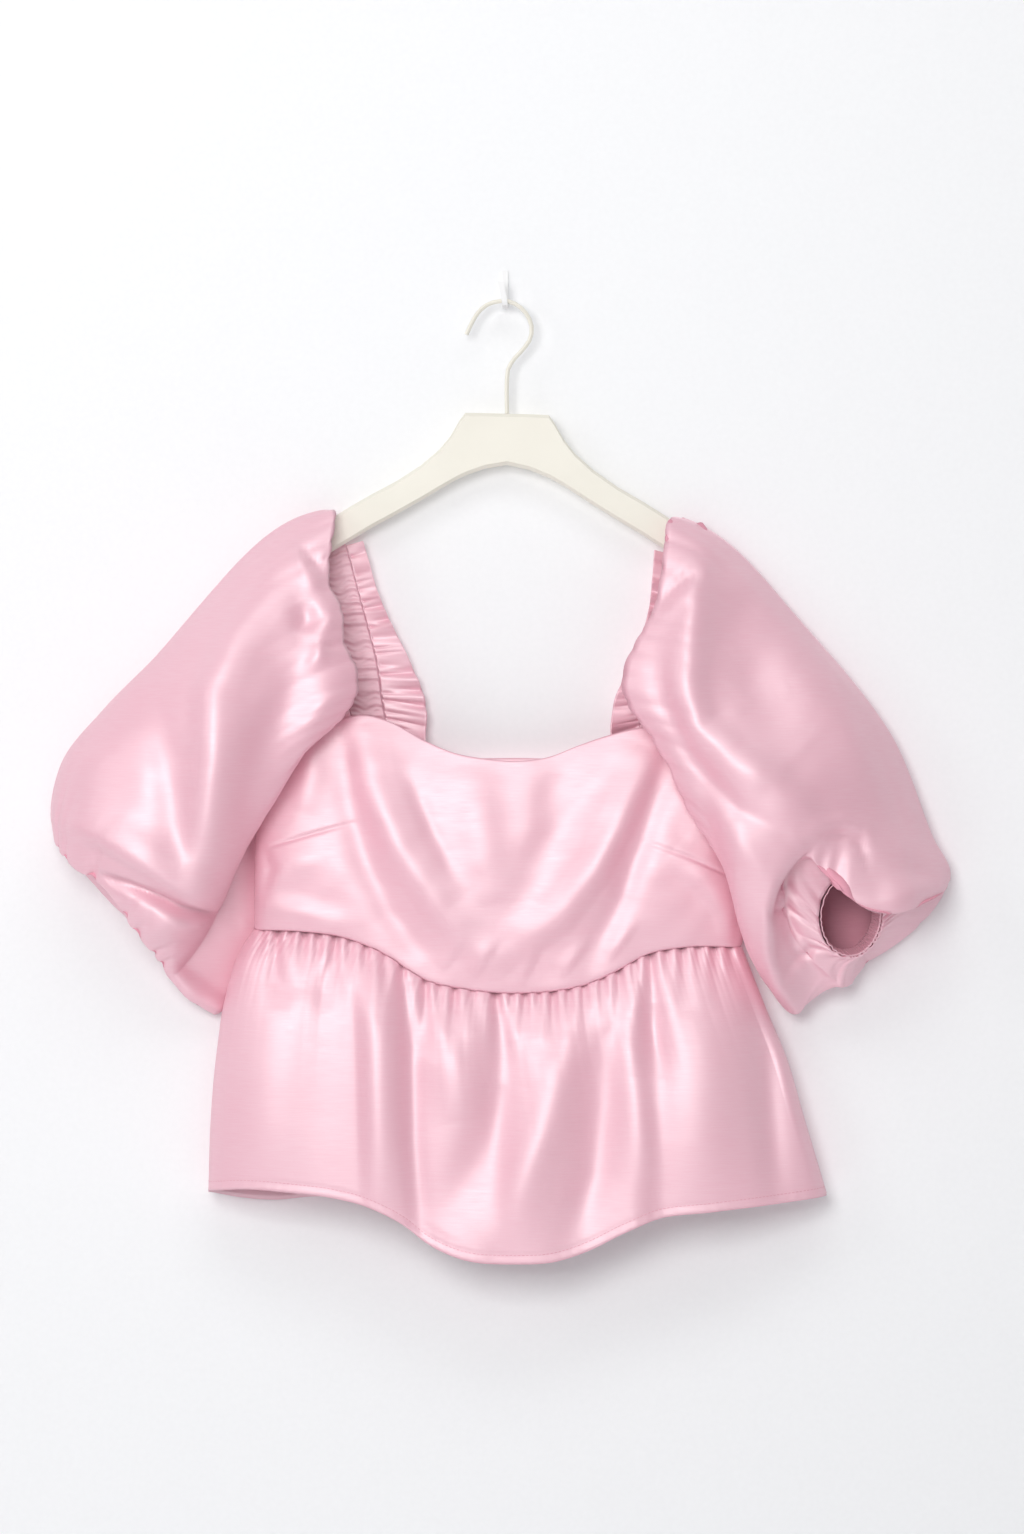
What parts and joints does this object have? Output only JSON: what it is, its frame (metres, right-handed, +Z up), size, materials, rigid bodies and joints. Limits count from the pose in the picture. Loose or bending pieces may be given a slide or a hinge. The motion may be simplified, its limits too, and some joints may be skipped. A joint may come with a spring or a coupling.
{
  "type": "peplum top on a hanger",
  "caption": "Short satin top with puff sleeves, shirred straps, a fitted bodice and a gathered peplum, hung on a flat hanger whose wire hook sits on a small wall hook.",
  "frame": {"origin": "on the flat back of the wall hook, in the plane of the wall", "axes": "+Z up, +Y into the wall, so the garment's front faces -Y and the viewer's right is +X"},
  "size_m": [0.797, 0.1147, 0.8761],
  "materials": {
    "satin": "pink satin with a soft shine",
    "shirred_satin": "pink satin drawn up by elastic",
    "cream_hanger": "cream, matt",
    "cream_wire": "cream coated wire",
    "white_hook": "white"
  },
  "bodies": {
    "root": {"front_bodice": "satin", "back_bodice": "satin", "front_peplum": "satin", "back_peplum": "satin", "sleeve_left": "satin", "sleeve_right": "satin", "frill_left": "satin", "frill_right": "satin", "strap_left": "shirred_satin", "strap_right": "shirred_satin", "cuff_left": "shirred_satin", "cuff_right": "shirred_satin", "hanger": "cream_hanger", "hanger_hook": "cream_wire", "wall_hook": "white_hook"}
  },
  "joints": []
}
